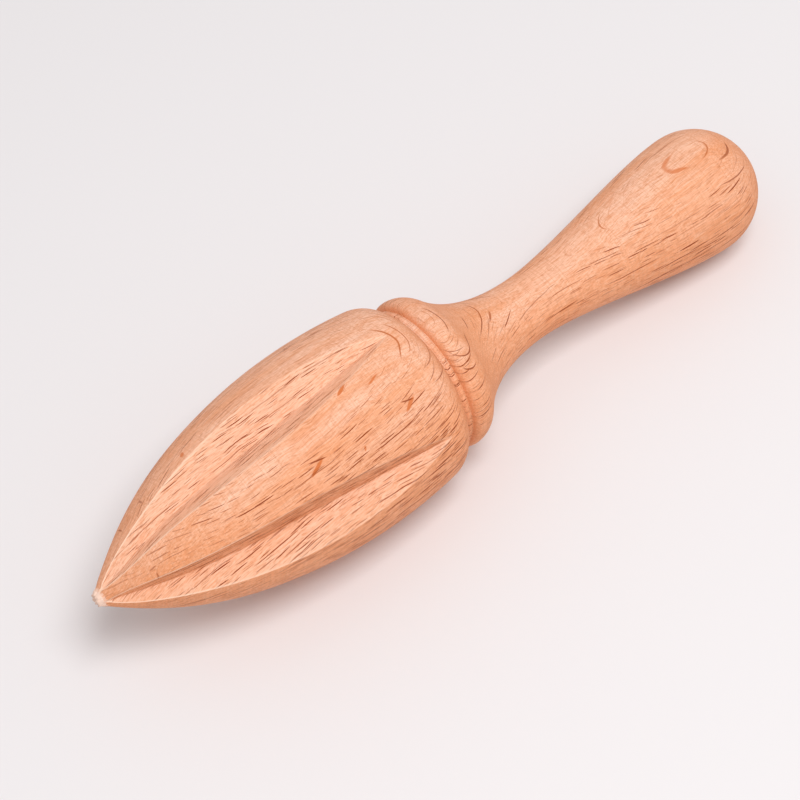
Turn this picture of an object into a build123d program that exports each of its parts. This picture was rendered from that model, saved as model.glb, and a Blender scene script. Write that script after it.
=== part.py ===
from build123d import *
from math import asin, atan2, cos, hypot, radians, sin, sqrt, tan
import os

# Wooden citrus reamer: one solid piece of turned beech, 170 mm long.
# All lengths are in millimetres. A station is a distance along the turning
# axis from the tip of the head, and a radius is measured out from that axis.

# Nib, the blunt stub left where the head was parted from the blank
nib_radius = 1.4
nib_root_radius = 2.3
nib_length = 1.9

# Head, an ogive that is widest well behind the middle of its length
head_length = 79.6
belly_from_tip = 58.9
belly_radius = 20.8
belly_arc_radius = 110.0
nose_length = 30.0
shoulder_length = 5.3

# Collar, the rounded ring in front of the hand, and the bead before it, a
# narrow band between two scribed lines that lie below the top of the collar
collar_radius = 16.9
collar_front_length = 1.95
collar_back_length = 4.15
collar_back_drop = 1.85
bead_width = 1.3
bead_proud = 0.35
scribe_width = 0.5
scribe_depth = 1.4

# Handle, from the collar over the flared neck and the waist to the ball at
# the end. The reaches say how far the outline keeps its direction at each end
# of the neck and of the grip.
neck_length = 21.6
neck_reach = 4.2
waist_radius = 6.95
waist_front_reach = 13.3
waist_back_reach = 12.4
grip_length = 48.0
ball_reach = 11.9
ball_radius = 13.6

# Flutes, V grooves with straight walls. The cutter plunges in at the nib, eases
# into its climb, and leaves the wood in a straight line before the shoulder.
flute_count = 5
flute_angle = 111.0
flute_entry_radius = 1.4
plunge_length = 8.85
plunge_rise = 2.94
dip_from_tip = 35.0
dip_radius = 13.4
ease_length = 22.4
flute_to_shoulder = 1.3
cutter_overrun = 4.0
# How far the V stands above its floor, as a share of the belly's radius
cutter_reach_share = 0.5

# Stations and radii that follow from the sizes above
shoulder_at = head_length - shoulder_length
run_out_at = shoulder_at - flute_to_shoulder
bead_end_at = head_length + bead_width
collar_at = bead_end_at + collar_front_length
collar_back_at = collar_at + collar_back_length
waist_at = collar_back_at + neck_length
ball_at = waist_at + grip_length
overall_length = ball_at + ball_radius
scribe_radius = collar_radius - scribe_depth
bead_radius = scribe_radius + bead_proud
collar_back_radius = collar_radius - collar_back_drop


def belly_surface(station):
    """Radius of the head at a station on the arc of its belly."""
    fall = belly_arc_radius - sqrt(belly_arc_radius**2 - (station - belly_from_tip) ** 2)
    return belly_radius - fall


# The blank is turned on the Z axis with its tip at the origin. Its outline is
# drawn as radius against station, from the belly down to the nib and then from
# the belly up to the end of the handle.
with BuildPart() as blank:
    with BuildSketch(Plane.XZ):
        with BuildLine():
            belly = RadiusArc(
                (belly_surface(nose_length), nose_length),
                (belly_surface(shoulder_at), shoulder_at),
                -belly_arc_radius,
            )
            nose = TangentArc(belly @ 0, (nib_root_radius, nib_length), tangent=-(belly % 0))
            Polyline(nose @ 1, (nib_radius, 0), (0, 0), (0, overall_length))
            shoulder = TangentArc(belly @ 1, (scribe_radius, head_length), tangent=belly % 1)
            bead = Polyline(
                shoulder @ 1,
                (bead_radius, head_length + scribe_width / 2),
                (bead_radius, bead_end_at - scribe_width / 2),
                (scribe_radius, bead_end_at),
            )
            TangentArc((collar_radius, collar_at), bead @ 1, tangent=(0, -1))
            collar = TangentArc(
                (collar_radius, collar_at),
                (collar_back_radius, collar_back_at),
                tangent=(0, 1),
            )
            neck = Bezier(
                collar @ 1,
                collar @ 1 + neck_reach * (collar % 1),
                (waist_radius, waist_at - waist_front_reach),
                (waist_radius, waist_at),
            )
            grip = Bezier(
                neck @ 1,
                (waist_radius, waist_at + waist_back_reach),
                (ball_radius, ball_at - ball_reach),
                (ball_radius, ball_at),
            )
            CenterArc((0, ball_at), ball_radius, 0, 90)
        make_face()
    revolve(axis=Axis.Z)

# One V cutter is swept along the floor of a flute, which dips below the nose
# and then climbs in a straight line until it leaves the belly.
with BuildPart() as cutter:
    with BuildLine(Plane.XZ) as floor:
        climb_rise = belly_surface(run_out_at) - dip_radius
        climb_run = run_out_at - dip_from_tip
        climb_length = hypot(climb_rise, climb_run)
        ease_share = ease_length / climb_length
        dip = Bezier(
            (flute_entry_radius, 0),
            (flute_entry_radius + plunge_rise, plunge_length),
            (dip_radius - ease_share * climb_rise, dip_from_tip - ease_share * climb_run),
            (dip_radius, dip_from_tip),
        )
        PolarLine(dip @ 1, climb_length + cutter_overrun, direction=dip % 1)
    with BuildSketch(Plane(floor.line @ 0, x_dir=(0, -1, 0), z_dir=floor.line % 0)):
        reach = cutter_reach_share * belly_radius
        half_width = reach * tan(radians(flute_angle / 2))
        Polygon((0, 0), (half_width, reach), (-half_width, reach), align=None)
    sweep(path=floor.line)

# The flutes are milled all round, with a land between two of them at the back,
# the side that the reamer lies on.
with BuildPart() as fluted:
    add(blank.part)
    back_angle = 180
    with PolarLocations(0, flute_count, start_angle=back_angle + 180 / flute_count):
        add(cutter.part, mode=Mode.SUBTRACT)

# Laid on a table, the reamer touches it with the belly and the ball, so its
# axis leans by the angle of the line that touches the arcs of both.
centres_apart = ball_at - belly_from_tip
centres_rise = belly_arc_radius - belly_radius
lean = asin((belly_arc_radius - ball_radius) / hypot(centres_apart, centres_rise)) - atan2(
    centres_rise, centres_apart
)
lying = Plane((0, 0, 0), x_dir=(sin(lean), 0, cos(lean)), z_dir=(cos(lean), 0, -sin(lean)))
box = fluted.part.moved(lying.location).bounding_box()
lying.origin = (-box.center().X, 0, -box.min.Z)

with BuildPart() as reamer:
    with Locations(lying.location):
        add(fluted.part)

reamer.part.label = "reamer"
os.makedirs("parts", exist_ok=True)
export_step(reamer.part, "parts/reamer.step")
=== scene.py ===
from math import acos, atan2, cos, hypot, pi, radians, sin, sqrt, tan

import bmesh
import bpy
from mathutils import Matrix, Vector, noise
from mathutils.geometry import interpolate_bezier


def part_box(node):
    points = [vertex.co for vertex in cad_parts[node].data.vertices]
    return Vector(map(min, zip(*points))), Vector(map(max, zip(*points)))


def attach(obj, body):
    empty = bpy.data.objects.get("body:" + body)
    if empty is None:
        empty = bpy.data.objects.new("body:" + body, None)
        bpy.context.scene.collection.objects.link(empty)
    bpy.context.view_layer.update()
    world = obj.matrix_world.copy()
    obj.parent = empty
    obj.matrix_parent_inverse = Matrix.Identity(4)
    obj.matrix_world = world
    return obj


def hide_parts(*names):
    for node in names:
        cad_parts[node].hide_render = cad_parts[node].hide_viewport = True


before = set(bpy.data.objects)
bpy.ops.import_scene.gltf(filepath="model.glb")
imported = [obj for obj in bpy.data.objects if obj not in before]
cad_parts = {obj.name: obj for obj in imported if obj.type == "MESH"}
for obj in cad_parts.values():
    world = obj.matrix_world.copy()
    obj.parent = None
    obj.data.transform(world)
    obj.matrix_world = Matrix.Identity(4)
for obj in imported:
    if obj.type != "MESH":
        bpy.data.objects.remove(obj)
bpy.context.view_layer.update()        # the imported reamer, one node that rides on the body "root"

# The camera stands over the front left of the reamer, as in the photograph,
# and looks down on it along a long lens. It is tipped a little about its line
# of sight, because the photograph was taken by hand.
aim = Vector((-0.0101, -0.0001, 0.018))
camera_distance = 0.5057
camera_azimuth = radians(-32.45)
camera_elevation = radians(53.69)
camera_roll = radians(9.71)
picture_angle = radians(18)

optics = bpy.data.cameras.new("camera")
optics.angle = picture_angle
optics.clip_start = 0.01
camera = bpy.data.objects.new("camera", optics)
bpy.context.collection.objects.link(camera)
sight = Matrix.Rotation(camera_azimuth, 4, "Z") @ Matrix.Rotation(pi / 2 - camera_elevation, 4, "X")
sight = sight @ Matrix.Rotation(-camera_roll, 4, "Z")
camera.matrix_world = Matrix.Translation(aim) @ sight @ Matrix.Translation((0, 0, camera_distance))
bpy.context.scene.camera = camera

# The turned blank: a square stick of steamed beech, turned between centres and
# sanded while it spun. Its outline is written as stations along the axis from
# the tip and radii out from the axis, in millimetres.
nib_length, nib_radius, nib_root_radius = 1.9, 1.4, 2.3
head_length, belly_from_tip, belly_radius, belly_arc_radius = 79.6, 58.9, 20.8, 110.0
nose_length, shoulder_at = 30.0, 74.3
scribe_radius, scribe_width, bead_width, bead_proud = 15.5, 0.5, 1.3, 0.35
collar_radius, collar_front_length, collar_back_length, collar_back_drop = 16.9, 1.95, 4.15, 1.85
neck_length, neck_reach, waist_radius, waist_front_reach = 21.6, 4.2, 6.95, 13.3
waist_back_reach, grip_length, ball_reach, ball_radius = 12.4, 48.0, 11.9, 13.6

# Steps of the mesh along each curve of the outline
nib_steps, nose_steps, belly_steps, shoulder_steps = 7, 46, 64, 18
collar_front_steps, collar_back_steps, ball_steps = 9, 12, 30
neck_points, grip_points = 30, 44

bead_end_at = head_length + bead_width
collar_at = bead_end_at + collar_front_length
collar_back_at = collar_at + collar_back_length
waist_at = collar_back_at + neck_length
ball_at = waist_at + grip_length


def belly_surface(station):
    """Radius of the head on the long arc of its belly."""
    fall = belly_arc_radius - sqrt(belly_arc_radius**2 - (station - belly_from_tip) ** 2)
    return belly_radius - fall


def belly_heading(station):
    """Direction of the belly's arc at a station."""
    across = belly_from_tip - station
    return Vector((sqrt(belly_arc_radius**2 - across**2), across)).normalized()


def arc(start, heading, end, steps):
    """Points of the arc that leaves start along heading and ends at end."""
    start, chord = Vector(start), Vector(end) - Vector(start)
    side = Vector((-heading.y, heading.x))
    centre = start + side * chord.length_squared / (2 * chord.dot(side))
    swing = 2 * atan2(heading.cross(chord), heading.dot(chord))
    return [centre + Matrix.Rotation(swing * k / steps, 2) @ (start - centre) for k in range(steps + 1)]


def arc_heading(heading, points):
    """Direction in which an arc that left along heading arrives."""
    chord = points[-1] - points[0]
    swing = 2 * atan2(heading.cross(chord), heading.dot(chord))
    return Matrix.Rotation(swing, 2) @ heading


nose_end = Vector((nose_length, belly_surface(nose_length)))
nose = arc(nose_end, -belly_heading(nose_length), (nib_length, nib_root_radius), nose_steps)[::-1]
belly_length = shoulder_at - nose_length
belly = [
    Vector((station, belly_surface(station)))
    for station in (nose_length + belly_length * k / belly_steps for k in range(belly_steps + 1))
]
shoulder = arc(belly[-1], belly_heading(shoulder_at), (head_length, scribe_radius), shoulder_steps)
bead_radius = scribe_radius + bead_proud
bead = [
    Vector((head_length + scribe_width / 2, bead_radius)),
    Vector((head_length + bead_width / 2, bead_radius)),
    Vector((bead_end_at - scribe_width / 2, bead_radius)),
]
level = Vector((1, 0))
collar_front = arc((collar_at, collar_radius), -level, (bead_end_at, scribe_radius), collar_front_steps)[::-1]
collar_end = (collar_back_at, collar_radius - collar_back_drop)
collar_back = arc((collar_at, collar_radius), level, collar_end, collar_back_steps)
leaving = arc_heading(level, collar_back)
neck = interpolate_bezier(
    collar_back[-1],
    collar_back[-1] + neck_reach * leaving,
    Vector((waist_at - waist_front_reach, waist_radius)),
    Vector((waist_at, waist_radius)),
    neck_points,
)
grip = interpolate_bezier(
    neck[-1],
    neck[-1] + waist_back_reach * level,
    Vector((ball_at - ball_reach, ball_radius)),
    Vector((ball_at, ball_radius)),
    grip_points,
)
ball = [
    Vector((ball_at + ball_radius * sin(angle), ball_radius * cos(angle)))
    for angle in (k * pi / (2 * ball_steps) for k in range(ball_steps + 1))
]
nib_spread = nib_root_radius - nib_radius
nib = [
    Vector((nib_length * share, nib_radius + nib_spread * share))
    for share in (k / nib_steps for k in range(nib_steps))
]
outline = nib + nose + belly[1:] + shoulder[1:] + bead + collar_front + collar_back[1:]
outline += neck[1:] + grip[1:] + ball[1:]

# The flutes: five V grooves, milled into the turned head after it was sanded.
# The cutter plunges in at the nib and climbs out in a straight line just before
# the shoulder, and a last hand sanding rounds the edges that it leaves.
flute_count = 5
flute_angle = radians(111.0)
wall_angle = flute_angle / 2
flute_entry_radius, dip_from_tip, dip_radius = 1.4, 35.0, 13.4
plunge_length, plunge_rise, ease_length = 8.85, 2.94, 22.4
run_out_at = 73.0
edge_rounding = 0.16
root_rounding = 0.12
dip_points = 120

dip_end = Vector((dip_from_tip, dip_radius))
climb = Vector((run_out_at, belly_surface(run_out_at))) - dip_end
dip = interpolate_bezier(
    Vector((0, flute_entry_radius)),
    Vector((plunge_length, flute_entry_radius + plunge_rise)),
    dip_end - ease_length * climb.normalized(),
    dip_end,
    dip_points,
)


def flute_floor(station):
    """Radius of the floor of a flute at a station."""
    if station >= dip_from_tip:
        return dip_radius + climb.y / climb.x * (station - dip_from_tip)
    for near, far in zip(dip, dip[1:]):
        if station <= far.x:
            return near.y + (far.y - near.y) * (station - near.x) / (far.x - near.x)


def flute_half(station, radius):
    """Angle from the middle of a flute to its edge, where the head has this radius."""
    share = min(flute_floor(station) / radius * sin(wall_angle), 1)
    return max(acos(share) - (pi / 2 - wall_angle), 0)


def soft_min(first, second, width):
    """The smaller of two radii, with the edge between them rounded."""
    mix = min(max(0.5 + 0.5 * (second - first) / width, 0), 1)
    return second + (first - second) * mix - width * mix * (1 - mix)


def head_radius(station, radius, angle):
    """Radius of the fluted head at an angle from the middle of a flute."""
    floor = flute_floor(station)
    across = sqrt(sin(angle) ** 2 + (root_rounding / radius) ** 2)
    opening = cos(angle) - across / tan(wall_angle)
    if opening <= 0:
        return radius
    return soft_min(radius, floor / opening, edge_rounding)


# Columns of the mesh in one wall of a flute and in one half of a land. Past the
# end of the flutes they spread until they are even all round, and those of a
# wall always cover a few degrees.
wall_columns = 12
land_columns = 12
even_at = shoulder_at + 3
sector = 2 * pi / flute_count
column_count = flute_count * 2 * (wall_columns + land_columns)
even_half = sector / 2 * wall_columns / (wall_columns + land_columns)
least_half = radians(2.5)


def column_angles(half):
    """Angles of the mesh's columns in one half flute and half land, close together at the edge."""
    wall = [half * (1 - cos(pi * k / wall_columns)) / 2 for k in range(wall_columns)]
    land = [half + (sector / 2 - half) * (1 - cos(pi / 2 * k / land_columns)) for k in range(land_columns)]
    return wall + land


def ring_angles(station, radius):
    """Angles of all columns at a station, with the middle of a flute straight up."""
    half = max(flute_half(station, radius), least_half)
    past = min(max((station - run_out_at) / (even_at - run_out_at), 0), 1)
    half += (even_half - half) * past * past * (3 - 2 * past)
    side = column_angles(half)
    one = [-sector / 2] + [-angle for angle in side[:0:-1]] + side
    return [start * sector + angle for start in range(flute_count) for angle in one]


# The mesh starts at the end of the nib as a small capped circle, whose rim is
# extruded ring by ring along the outline. "milled" is 1 on the walls of the
# flutes and 0 on the turned surface.
body = bmesh.new()
milled = body.verts.layers.float.new("milled")
ring = bmesh.ops.create_circle(
    body,
    cap_ends=True,
    cap_tris=True,
    radius=nib_radius / 3,
    segments=column_count,
)
rim = [vert for vert in ring["verts"] if len(vert.link_edges) == 3]
rim.sort(key=lambda vert: atan2(vert.co.y, vert.co.x))
edges = [edge for edge in body.edges if len(edge.link_faces) == 1]
end_steps = 5
stations = [Vector((0, nib_radius * k / end_steps)) for k in range(1, end_steps)] + outline


def place_ring(verts, station, radius):
    """Puts a ring of vertices on the surface of the reamer, in millimetres."""
    for vert, angle in zip(verts, ring_angles(station, max(radius, nib_radius))):
        reach = radius
        if 0 < station < head_length:
            reach = head_radius(station, radius, (angle + sector / 2) % sector - sector / 2)
        vert.co = (station, reach * sin(angle), reach * cos(angle))
        vert[milled] = min((radius - reach) / edge_rounding, 1)


place_ring(rim, *stations[0])
for station, radius in stations[1:]:
    grown = bmesh.ops.extrude_edge_only(body, edges=edges)["geom"]
    new = {vert for vert in grown if isinstance(vert, bmesh.types.BMVert)}
    edges = [edge for edge in grown if isinstance(edge, bmesh.types.BMEdge) and set(edge.verts) <= new]
    linked = [[edge.other_vert(vert) for edge in vert.link_edges] for vert in rim]
    rim = [next(vert for vert in others if vert in new) for others in linked]
    place_ring(rim, station, radius)
merge_distance = 0.0005
bmesh.ops.remove_doubles(body, verts=body.verts, dist=merge_distance)
bmesh.ops.recalc_face_normals(body, faces=body.faces)

# The nib is where the finished head was broken from the waste, so its end is
# torn: the fibres fall short of the turned shape by up to half a millimetre, and
# leave it up to an eighth thinner. Noise strays to both sides of the middles.
torn_length, torn_depth, torn_middle = 2.2, 0.55, 0.4
thinning, thinning_middle = 0.12, 0.5
fibre_width, fibre_stretch, clump_width = 0.4, 4, 3
for vert in body.verts:
    if vert.co.x < torn_length:
        fade = 1 - vert.co.x / torn_length
        fibre = noise.noise(Vector((vert.co.x / fibre_stretch, vert.co.y, vert.co.z)) / fibre_width)
        clump = noise.noise(vert.co / (clump_width * fibre_width))
        vert.co.x += torn_depth * fade * min(max(torn_middle + fibre + clump, 0), 1)
        vert.co.yz *= 1 - thinning * fade * min(max(thinning_middle + fibre, 0), 1)

# Laid on the table, the reamer rests on its belly and on the ball, so the axis
# leans until the lowest points of both arcs are level.
apart = ball_at - belly_from_tip
rise = belly_arc_radius - belly_radius
lean = (pi / 2 - acos((belly_arc_radius - ball_radius) / hypot(apart, rise))) - atan2(rise, apart)
low = Vector(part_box("reamer")[0])
millimetre = 0.001
tip_x = low.x + nib_radius * sin(lean) * millimetre
tip_z = (belly_arc_radius - rise * cos(lean) + belly_from_tip * sin(lean)) * millimetre
lying = Matrix.Translation((tip_x, 0, tip_z)) @ Matrix.Rotation(lean, 4, "Y") @ Matrix.Scale(millimetre, 4)
bmesh.ops.transform(body, matrix=lying, verts=body.verts)

mesh = bpy.data.meshes.new("turned_reamer")
body.to_mesh(mesh)
body.free()
mesh.shade_smooth()
reamer = bpy.data.objects.new("turned_reamer", mesh)
bpy.context.collection.objects.link(reamer)
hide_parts("reamer")
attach(reamer, "root")


# Steamed beech, turned and fine sanded, with no oil or lacquer on it. It is a
# pinkish tan with a soft sheen; the thin rays show as brown dashes where they
# are cut across and as orange flecks where the surface runs along them.
def linear(code):
    """The linear colour of an sRGB hex value."""
    parts = [int(code[k : k + 2], 16) / 255 for k in (1, 3, 5)]
    return [part / 12.92 if part <= 0.04045 else ((part + 0.055) / 1.055) ** 2.4 for part in parts] + [1]


beech = bpy.data.materials.new("steamed beech, turned and fine sanded")
beech.use_nodes = True
tree = beech.node_tree
tree.nodes.clear()


def node(kind, settings={}, **inputs):
    """Adds a node, sets its properties, fills or links its sockets, and gives its outputs."""
    made = tree.nodes.new("ShaderNode" + kind)
    for name, value in settings.items():
        setattr(made, name, value)
    for name, value in inputs.items():
        socket = made.inputs[int(name[1:]) if name[1:].isdigit() else name.replace("_", " ")]
        if isinstance(value, bpy.types.NodeSocket):
            tree.links.new(value, socket)
        else:
            socket.default_value = value
    return made.outputs


# Places in the wood, in millimetres: X along the turning axis from the tip, Y
# across the growth rings, and Z square to the rays, up through the top flute.
surface = node("TexCoord")
to_axis, to_level, _ = lying.inverted().decompose()
in_wood = node(
    "Mapping",
    Vector=surface["Object"],
    Location=to_axis,
    Rotation=to_level.to_euler(),
    Scale=(1 / millimetre,) * 3,
)[0]

# The grain wanders: growth rings and rays bend by up to a millimetre in every
# few centimetres, and ripple by a tenth or two of one in a few millimetres. The
# reaches are the full swings of the noise, most of which it seldom uses.
wander_length, wander_reach = 35, (0, 4, 3)
ripple_length, ripple_reach = 4, (0.9, 0.9, 0.25)
wander = node("TexNoise", Vector=in_wood, Scale=1 / wander_length, Detail=1.0)["Color"]
wander = node("VectorMath", {"operation": "SUBTRACT"}, _0=wander, _1=(0.5,) * 3)[0]
ripple = node("TexNoise", Vector=in_wood, Scale=1 / ripple_length, Detail=0.0)["Color"]
ripple = node("VectorMath", {"operation": "SUBTRACT"}, _0=ripple, _1=(0.5,) * 3)[0]
rippled = node("VectorMath", {"operation": "MULTIPLY_ADD"}, _0=ripple, _1=ripple_reach, _2=in_wood)[0]
grain = node("VectorMath", {"operation": "MULTIPLY_ADD"}, _0=wander, _1=wander_reach, _2=rippled)[0]

# The stick was not sawn quite along its grain, which climbs away from the tip:
# by two thirds of a millimetre in each one at the very tip, by a third of one
# 15 mm from it, and by a twelfth in the handle.
steady_climb, tip_climb, climb_fades_in = 0.08, 0.6, 18
station = node("SeparateXYZ", _0=in_wood)[0]
climbed = node("Math", {"operation": "MULTIPLY"}, _0=station, _1=-1 / climb_fades_in)[0]
climbed = node("Math", {"operation": "EXPONENT"}, _0=climbed)[0]
climbed = node("Math", {"operation": "MULTIPLY"}, _0=climbed, _1=tip_climb * climb_fades_in)[0]
climbed = node("Math", {"operation": "MULTIPLY_ADD"}, _0=station, _1=-steady_climb, _2=climbed)[0]
climbed = node("CombineXYZ", Z=climbed)[0]
grain = node("VectorMath", {"operation": "ADD"}, _0=grain, _1=climbed)[0]

# How the surface lies to the rays. Flatness is 1 where it runs along them, as on
# the top of the tool, and 0 on the sides, where it cuts them on edge. Endways is
# 1 where the surface faces along the axis.
facing = node("VectorRotate", {"rotation_type": "Y_AXIS"}, Vector=surface["Normal"], Angle=-lean)[0]
upward = node("SeparateXYZ", _0=facing)[2]
flatness = node("Math", {"operation": "ABSOLUTE"}, _0=upward)[0]
endways = node("SeparateXYZ", _0=facing)[0]
endways = node("Math", {"operation": "ABSOLUTE"}, _0=endways)[0]
on_edge = node(
    "MapRange",
    {"interpolation_type": "SMOOTHSTEP"},
    Value=flatness,
    From_Min=0.99,
    From_Max=0.85,
)[0]

# The flatter the surface lies to a ray, the wider it cuts it. Rays are drawn
# thinner there, down to a fifth, so that their dashes stay about as narrow.
most_thinned = 5.0
slant = node("Math", {"operation": "MULTIPLY"}, _0=flatness, _1=flatness)[0]
slant = node("Math", {"operation": "SUBTRACT"}, _0=1.0, _1=slant)[0]
slant = node("Math", {"operation": "POWER"}, _0=slant, _1=-0.75)[0]
slant = node("Math", {"operation": "MINIMUM"}, _0=slant, _1=most_thinned)[0]
thinned = node("CombineXYZ", X=1.0, Y=1.0, Z=slant)[0]

# Strong rays are common in the head and rarer from the collar on.
sparse = node("MapRange", Value=station, From_Min=78.0, From_Max=88.0, To_Max=0.5)[0]


def rays(cell, plate, slope, shift):
    """Rays of one size, as a mask from 0 to 1: thin plates that follow the grain, one in each cell."""
    moved = node("VectorMath", {"operation": "ADD"}, _0=grain, _1=shift)[0]
    shrunk = node("VectorMath", {"operation": "DIVIDE"}, _0=moved, _1=cell)[0]
    seeds = node("TexVoronoi", Vector=shrunk, Scale=1.0)
    away = node("VectorMath", {"operation": "SUBTRACT"}, _0=shrunk, _1=seeds["Position"])[0]
    away = node("VectorMath", {"operation": "MULTIPLY"}, _0=away, _1=cell)[0]
    chance = node("SeparateXYZ", _0=seeds["Color"])
    tilt = node("MapRange", Value=chance[0], To_Min=-slope, To_Max=slope)[0]
    along = node("SeparateXYZ", _0=away)[0]
    drift = node("Math", {"operation": "MULTIPLY"}, _0=along, _1=tilt)[0]
    lift = node("CombineXYZ", Z=drift)[0]
    tilted = node("VectorMath", {"operation": "ADD"}, _0=away, _1=lift)[0]
    tilted = node("VectorMath", {"operation": "MULTIPLY"}, _0=tilted, _1=thinned)[0]
    reach = node("VectorMath", {"operation": "DIVIDE"}, _0=tilted, _1=plate)[0]
    reach = node("VectorMath", {"operation": "LENGTH"}, _0=reach)["Value"]
    size = node("MapRange", Value=chance[1], To_Min=0.6, To_Max=1.15)[0]
    nearness = node("Math", {"operation": "DIVIDE"}, _0=reach, _1=size)[0]
    mark = node(
        "MapRange",
        {"interpolation_type": "SMOOTHSTEP"},
        Value=nearness,
        From_Min=1.0,
        From_Max=0.75,
    )[0]
    strength = node("Math", {"operation": "SUBTRACT"}, _0=chance[2], _1=sparse)[0]
    strength = node("MapRange", Value=strength, From_Min=0.0, From_Max=0.3, To_Min=0.3)[0]
    return node("Math", {"operation": "MULTIPLY"}, _0=mark, _1=strength)[0]


def lens(place, half, turn, strength):
    """One ray that the eye picks out: a lens of wood with its own place, half sizes and turn."""
    local = node(
        "Mapping",
        {"vector_type": "TEXTURE"},
        Vector=rippled,
        Location=place,
        Rotation=[radians(angle) for angle in turn],
        Scale=half,
    )[0]
    reach = node("VectorMath", {"operation": "LENGTH"}, _0=local)["Value"]
    return node(
        "MapRange",
        {"interpolation_type": "SMOOTHSTEP"},
        Value=reach,
        From_Min=1.0,
        From_Max=0.6,
        To_Max=strength,
    )[0]


# Rays stand out in some bands of the wood and are fainter in others.
band_size = (34, 12, 6)
crowd_place = node("VectorMath", {"operation": "DIVIDE"}, _0=grain, _1=band_size)[0]
crowd = node("TexNoise", Vector=crowd_place, Scale=1.0, Detail=1.0)[0]
crowd = node("MapRange", Value=crowd, From_Min=0.34, From_Max=0.5, To_Min=0.55)[0]

# Rays of three sizes, each given as the size of its cell, half the size of its
# plate, the slope by which it may stray and a shift that parts it from the
# others. Most rays in beech are about a tenth of a millimetre thick, and they
# are drawn up to 0.3 mm thick so that they still show. The larger ones hardly
# show where the surface runs along them, and all fade where it faces endways.
long_rays = rays((18, 14, 1.5), (7, 8, 0.15), 0.01, (3, 7, 1))
middle_rays = rays((7, 10, 0.68), (2.5, 6, 0.15), 0.025, (40, 11, 5))
short_rays = rays((4.4, 6, 0.75), (1.8, 3, 0.12), 0.04, (17, 29, 3))
edge_share = node("MapRange", Value=on_edge, To_Min=0.15)[0]
all_rays = node("Math", {"operation": "MULTIPLY"}, _0=short_rays, _1=0.75)[0]
for layer in (long_rays, middle_rays):
    layer = node("Math", {"operation": "MULTIPLY"}, _0=layer, _1=edge_share)[0]
    all_rays = node("Math", {"operation": "MAXIMUM"}, _0=all_rays, _1=layer)[0]
all_rays = node("Math", {"operation": "MULTIPLY"}, _0=all_rays, _1=crowd)[0]
end_fade = node("MapRange", Value=endways, From_Min=0.25, From_Max=0.6, To_Min=1.0, To_Max=0.3)[0]
all_rays = node("Math", {"operation": "MULTIPLY"}, _0=all_rays, _1=end_fade)[0]

# Large rays that the turned surface cuts nearly level, so that they show as
# arcs and rings: on the shoulder, on the collar, on the neck and on the ball.
# Two on a land of the head and four short dark bars near the tip come last.
for place, half, turn, strength in (
    ((72.3, -1.3, 19.57), (3.2, 6.0, 0.08), (4, -8.5, 0), 0.9),
    ((74.4, -1.2, 19.24), (2.6, 5.4, 0.08), (4, -8.5, 0), 0.85),
    ((71.6, -0.9, 19.6), (1.7, 0.8, 0.2), (0, 0, 0), 0.9),
    ((77.2, -7.4, 16.8), (3.4, 4.2, 0.1), (-4, 7, 0), 0.6),
    ((77.2, -10.6, 14.7), (4.0, 4.2, 0.12), (-10, 8, 0), 0.7),
    ((85.0, -0.6, 16.25), (1.9, 5.6, 0.08), (4, 0, 0), 0.85),
    ((85.3, -7.6, 13.5), (4.6, 4.4, 0.1), (8, 19, 0), 0.85),
    ((83.2, -7.6, 14.4), (2.6, 2.4, 0.08), (-11, 13, 0), 0.7),
    ((83.9, -11.7, 11.8), (2.4, 1.4, 0.09), (20, 15, 0), 0.8),
    ((94.3, -1.6, 8.95), (4.4, 6.6, 0.08), (-4, 0, 0), 0.9),
    ((91.0, -2.5, 11.35), (1.3, 2.8, 0.1), (0, 0, 0), 0.7),
    ((97.6, -2.4, 8.15), (1.5, 1.8, 0.1), (0, 0, 0), 0.8),
    ((157.2, -0.6, 13.37), (3.4, 3.4, 0.06), (0, -3, 0), 0.8),
    ((161.2, -3.6, 12.03), (4.0, 3.4, 0.12), (2, 11, 0), 0.7),
    ((159.6, -8.4, 9.73), (6.0, 2.4, 0.16), (-14, 5, 0), 0.7),
    ((45.6, -12.1, 15.83), (2.4, 1.2, 0.13), (0, 0, -12), 0.9),
    ((67.3, -12.55, 16.15), (1.8, 0.9, 0.12), (0, 13, -10), 0.8),
    ((10.8, -6.9, 5.2), (0.22, 1.3, 1.2), (0, 0, 0), 0.55),
    ((10.5, -5.2, 6.6), (1.0, 0.6, 0.18), (0, -30, -20), 0.45),
    ((16.5, 5.9, 10.2), (0.22, 1.1, 0.9), (0, 0, 0), 0.55),
    ((10.9, 5.6, 6.8), (0.22, 1.2, 1.0), (0, 0, 0), 0.55),
):
    picked = lens(place, half, turn, strength)
    all_rays = node("Math", {"operation": "MAXIMUM"}, _0=all_rays, _1=picked)[0]

# Orange flecks, where a ray turns aside and is cut on the slant.
flecks = 0.0
for place, half, turn, strength in (
    ((150.2, -0.2, 13.0), (3.2, 4.2, 0.12), (0, -3, 0), 0.7),
    ((44.9, -13.0, 15.0), (2.9, 0.45, 0.5), (0, -18, 20), 0.9),
    ((67.6, -13.2, 15.6), (2.1, 0.45, 0.5), (0, -20, 25), 0.85),
    ((57.6, -4.9, 20.2), (1.9, 0.45, 0.45), (0, -7, 24), 0.9),
    ((64.2, -6.4, 19.5), (2.2, 0.35, 0.35), (0, -2, 16), 0.85),
    ((46.3, -5.5, 19.2), (1.3, 0.35, 0.4), (0, 0, 8), 0.75),
    ((54.9, -15.0, 14.3), (0.9, 0.3, 0.5), (0, 0, 60), 0.75),
    ((27.8, -13.6, 1.5), (1.9, 0.4, 0.5), (0, 0, 0), 0.6),
    ((27.8, 6.6, 14.9), (0.9, 0.6, 0.5), (0, 0, 60), 0.75),
):
    picked = lens(place, half, turn, strength)
    flecks = node("Math", {"operation": "MAXIMUM"}, _0=flecks, _1=picked)[0]

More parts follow.
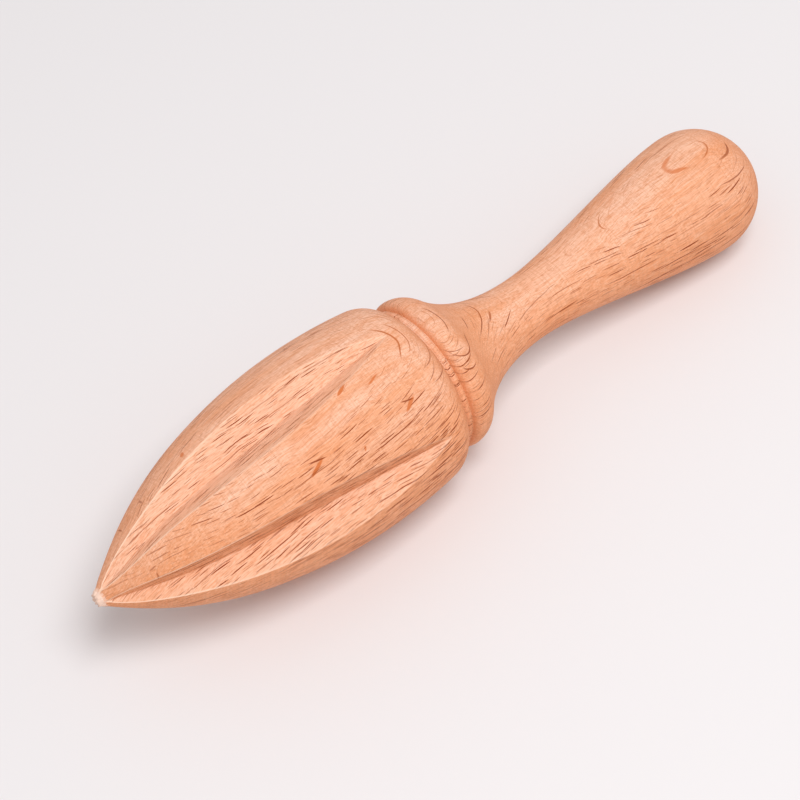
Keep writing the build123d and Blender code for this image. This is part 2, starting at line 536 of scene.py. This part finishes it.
# Growth rings, about 3 mm apart, lie upright along the tool. Each one darkens
# a little towards its late wood and then starts pale again.
ring_width = 3.1
across = node("SeparateXYZ", _0=grain)[1]
ring_count = node("Math", {"operation": "DIVIDE"}, _0=across, _1=ring_width)[0]
late_wood = node("Math", {"operation": "FRACT"}, _0=ring_count)[0]
late_wood = node(
    "MapRange",
    {"interpolation_type": "SMOOTHSTEP"},
    Value=late_wood,
    From_Min=0.35,
    From_Max=1.0,
    To_Max=0.22,
)[0]

# Broad streaks of colour run along the grain, with finer ones in them, and
# patches a finger wide are a little deeper in colour.
streak_size, patch_size = (60, 5, 7), (26, 12, 12)
streak_place = node("VectorMath", {"operation": "DIVIDE"}, _0=grain, _1=streak_size)[0]
streak = node("TexNoise", Vector=streak_place, Scale=1.0, Detail=4.0, Roughness=0.6)[0]
streak = node("MapRange", Value=streak, From_Min=0.32, From_Max=0.68)[0]
patch_place = node("VectorMath", {"operation": "DIVIDE"}, _0=in_wood, _1=patch_size)[0]
patch = node("TexNoise", Vector=patch_place, Scale=1.0, Detail=2.0)[0]
patch = node("MapRange", Value=patch, From_Min=0.45, From_Max=0.7, To_Max=0.5)[0]

# Fibres run along the grain as a fine nap of light and dark. Pores, less than a
# tenth of a millimetre wide in beech, are drawn about a sixth of one wide so
# that they still give the surface its speckle.
fibre_size, pore_size = (10, 0.28, 0.25), (1.4, 0.16, 0.16)
fibre_place = node("VectorMath", {"operation": "DIVIDE"}, _0=grain, _1=fibre_size)[0]
fibres = node("TexNoise", Vector=fibre_place, Scale=1.0, Detail=2.0, Roughness=0.6)[0]
dark_fibres = node("MapRange", Value=fibres, From_Min=0.5, From_Max=0.72, To_Max=0.6)[0]
pale_fibres = node("MapRange", Value=fibres, From_Min=0.5, From_Max=0.25, To_Max=0.35)[0]
pore_place = node("VectorMath", {"operation": "DIVIDE"}, _0=grain, _1=pore_size)[0]
pores = node("TexNoise", Vector=pore_place, Scale=1.0, Detail=2.0, Roughness=0.65)[0]
pore_tone = node("MapRange", Value=pores, From_Min=0.5, From_Max=0.72, To_Max=0.7)[0]

# Turning lines, left by the sanding as the wood spun, square to the axis. They
# are finer in the wood and drawn 0.4 mm apart here, and the cutter that made
# the flutes took them off.
line_spacing = 0.4
line_place = node("Math", {"operation": "DIVIDE"}, _0=station, _1=line_spacing)[0]
turning = node("TexNoise", {"noise_dimensions": "1D"}, W=line_place, Scale=1.0, Detail=1.0)[0]
turning = node("MapRange", Value=turning, From_Min=0.4, From_Max=0.75, To_Max=0.3)[0]
milled = node("Attribute", {"attribute_name": "milled"})["Fac"]
sanded = node("Math", {"operation": "SUBTRACT"}, _0=1.0, _1=milled)[0]
turning = node("Math", {"operation": "MULTIPLY"}, _0=turning, _1=sanded)[0]

# Pale torn fibres at the very tip, where the finished head broke away. They
# end in a ragged line that strays by half a millimetre or so.
fibres_per_mm, ragged_reach = 2.2, 1.6
ragged = node("TexNoise", Vector=in_wood, Scale=fibres_per_mm, Detail=2.0)[0]
ragged = node("Math", {"operation": "MULTIPLY_ADD"}, _0=ragged, _1=-ragged_reach, _2=station)[0]
torn = node("MapRange", Value=ragged, From_Min=0.9, From_Max=0.2, To_Max=0.9)[0]

# A ray that lies flat in the surface is a broad orange fleck, and one that
# meets it on edge is a thin brown dash.
ray_colour = node(
    "Mix",
    {"data_type": "RGBA"},
    Factor=on_edge,
    _6=linear("#C06A38"),
    _7=linear("#8C3600"),
)[2]

# Where the surface lies flat to the rays the wood is pale and pinkish, and
# where it is cut across them it is a deeper orange. Walls of the flutes that
# face up are paler, partly from the cutter's finish and partly as painted light
# from above, and end grain is darker. A pale highlight is painted along the
# edges of the flutes, strongest near the tip.
across_rays = node("MapRange", Value=flatness, From_Min=0.95, From_Max=0.3, To_Max=0.75)[0]
# Paler flute walls: partly the cutter's finish, partly painted light on the walls that face up.
pale_milling_and_top_light = node("MapRange", Value=upward, From_Min=-0.3, From_Max=0.7, To_Max=0.35)[0]
pale_milling_and_top_light = node("Math", {"operation": "MULTIPLY"}, _0=milled, _1=pale_milling_and_top_light)[0]
# Painted highlight: a pale line where the flute walls meet the lands, up to three times stronger near the
# tip.
painted_edge_highlight = node("Math", {"operation": "MULTIPLY"}, _0=milled, _1=sanded)[0]
edge_highlight_toward_tip = node("MapRange", Value=station, From_Min=50.0, From_Max=10.0, To_Min=1.0, To_Max=3.0)[0]
painted_edge_highlight = node("Math", {"operation": "MULTIPLY"}, _0=painted_edge_highlight, _1=edge_highlight_toward_tip)[0]
end_grain = node("MapRange", Value=endways, From_Min=0.35, From_Max=1.0, To_Max=0.6)[0]

# The tones, each laid over those before it.
colour = linear("#FACAB0")
for share, tone in (
    (across_rays, linear("#EE9963")),
    (streak, linear("#F0A87E")),
    (patch, linear("#F09C6B")),
    (late_wood, linear("#DB8F62")),
    (end_grain, linear("#DE8C58")),
    # pale flute walls, partly painted light from above
    (pale_milling_and_top_light, linear("#FACCB0")),
    (dark_fibres, linear("#D98553")),
    (pale_fibres, linear("#FFD8BE")),
    (pore_tone, linear("#C67F52")),
    (turning, linear("#D3916A")),
    (flecks, linear("#D07038")),
    (all_rays, ray_colour),
    # painted highlight along the edges of the flutes
    (painted_edge_highlight, linear("#FFDCC2")),
    (torn, linear("#F3D4C2")),
):
    colour = node("Mix", {"data_type": "RGBA"}, Factor=share, _6=colour, _7=tone)[2]

# Sanded wood is fairly dull, and duller where the cutter left it. Pores and
# turning lines are the deepest dents in it, and the rays are shallower.
left_by_cutter, ray_depth, deepest = 0.06, 0.15, 0.04
roughness = node("MapRange", Value=pores, To_Min=0.5, To_Max=0.68)[0]
roughness = node("Math", {"operation": "MULTIPLY_ADD"}, _0=milled, _1=left_by_cutter, _2=roughness)[0]
dents = node("Math", {"operation": "ADD"}, _0=pore_tone, _1=turning)[0]
dents = node("Math", {"operation": "MULTIPLY_ADD"}, _0=all_rays, _1=ray_depth, _2=dents)[0]
dents = node("Math", {"operation": "MULTIPLY_ADD"}, _0=torn, _1=ragged, _2=dents)[0]
relief = node("Bump", {"invert": True}, Height=dents, Distance=deepest * millimetre)[0]
shader = node(
    "BsdfPrincipled",
    Base_Color=colour,
    Roughness=roughness,
    Specular_IOR_Level=0.12,
    Normal=relief,
)[0]
node("OutputMaterial", Surface=shader)
mesh.materials.append(beech)

# Floor: a plain pale sheet under the reamer, 6 m wide, so that its edge stays
# out of view.
floor_half = 3
floor_mesh = bpy.data.meshes.new("floor")
sheet = bmesh.new()
bmesh.ops.create_grid(sheet, x_segments=1, y_segments=1, size=floor_half)
sheet.to_mesh(floor_mesh)
sheet.free()
floor = bpy.data.objects.new("floor", floor_mesh)
bpy.context.collection.objects.link(floor)
paper = bpy.data.materials.new("pale matt paper")
paper.use_nodes = True
paper.node_tree.nodes["Principled BSDF"].inputs["Base Color"].default_value = linear("#E6E3E4")
paper.node_tree.nodes["Principled BSDF"].inputs["Roughness"].default_value = 0.9
floor_mesh.materials.append(paper)

# One square soft lamp stands high in front of the reamer and points at it, in a
# pale surround.
lamp_place, lamp_size, lamp_watts = Vector((0.02, -0.36, 0.9)), 0.4, 5.8
light = bpy.data.lights.new("key", "AREA")
light.energy = lamp_watts
light.size = lamp_size
lamp = bpy.data.objects.new("key", light)
bpy.context.collection.objects.link(lamp)
lamp.location = lamp_place
lamp.rotation_euler = (-lamp_place).to_track_quat("-Z", "Y").to_euler()
world = bpy.data.worlds.new("studio")
world.use_nodes = True
world.node_tree.nodes["Background"].inputs["Color"].default_value = linear("#F4F2F2")
world.node_tree.nodes["Background"].inputs["Strength"].default_value = 0.65
bpy.context.scene.world = world
bpy.context.scene.view_settings.view_transform = "Standard"
